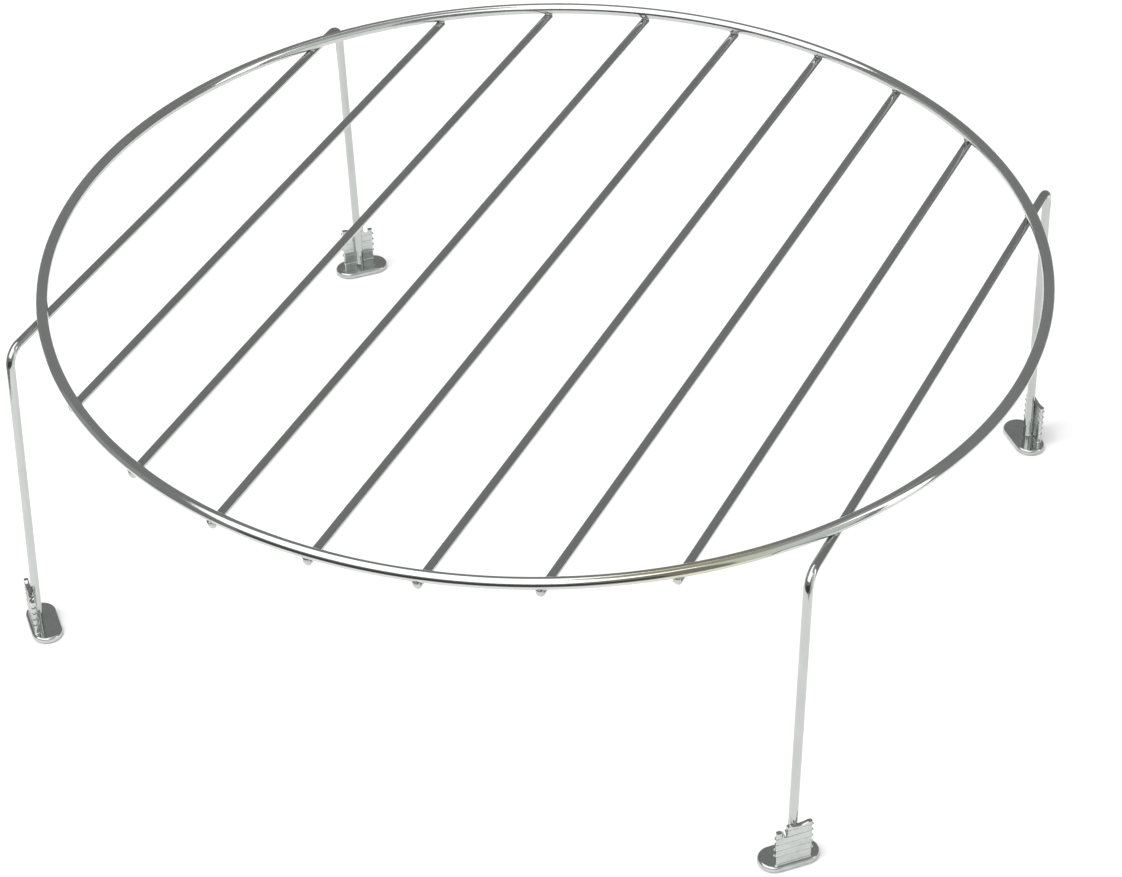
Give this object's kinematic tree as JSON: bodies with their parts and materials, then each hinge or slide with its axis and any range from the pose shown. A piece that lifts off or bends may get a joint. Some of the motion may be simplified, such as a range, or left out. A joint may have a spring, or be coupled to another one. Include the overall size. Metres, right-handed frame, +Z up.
{
  "type": "cooling rack",
  "caption": "Round chrome wire rack: parallel wires welded under a thick ring, with the two outermost bent down as legs that stand on flat oblong feet.",
  "frame": {"origin": "on the floor, under the middle of the ring", "axes": "+Z up, +Y along the parallel wires, +X across them"},
  "size_m": [0.2924, 0.2924, 0.1021],
  "materials": {
    "ring_chrome": "bright nickel-chrome plating on steel wire",
    "wire_chrome": "bright nickel-chrome plating on drawn steel wire",
    "foot_plate": "plated, slightly softer shine than the wires",
    "weld_metal": "plated weld metal, uneven"
  },
  "bodies": {
    "root": {"rim_ring": "ring_chrome", "cross_wire_1": "wire_chrome", "cross_wire_2": "wire_chrome", "cross_wire_3": "wire_chrome", "cross_wire_4": "wire_chrome", "cross_wire_5": "wire_chrome", "cross_wire_6": "wire_chrome", "cross_wire_7": "wire_chrome", "leg_wire_left": "wire_chrome", "leg_wire_right": "wire_chrome", "foot_front_left": "foot_plate", "foot_front_right": "foot_plate", "foot_back_left": "foot_plate", "foot_back_right": "foot_plate", "weld_flash": "weld_metal"}
  },
  "joints": []
}
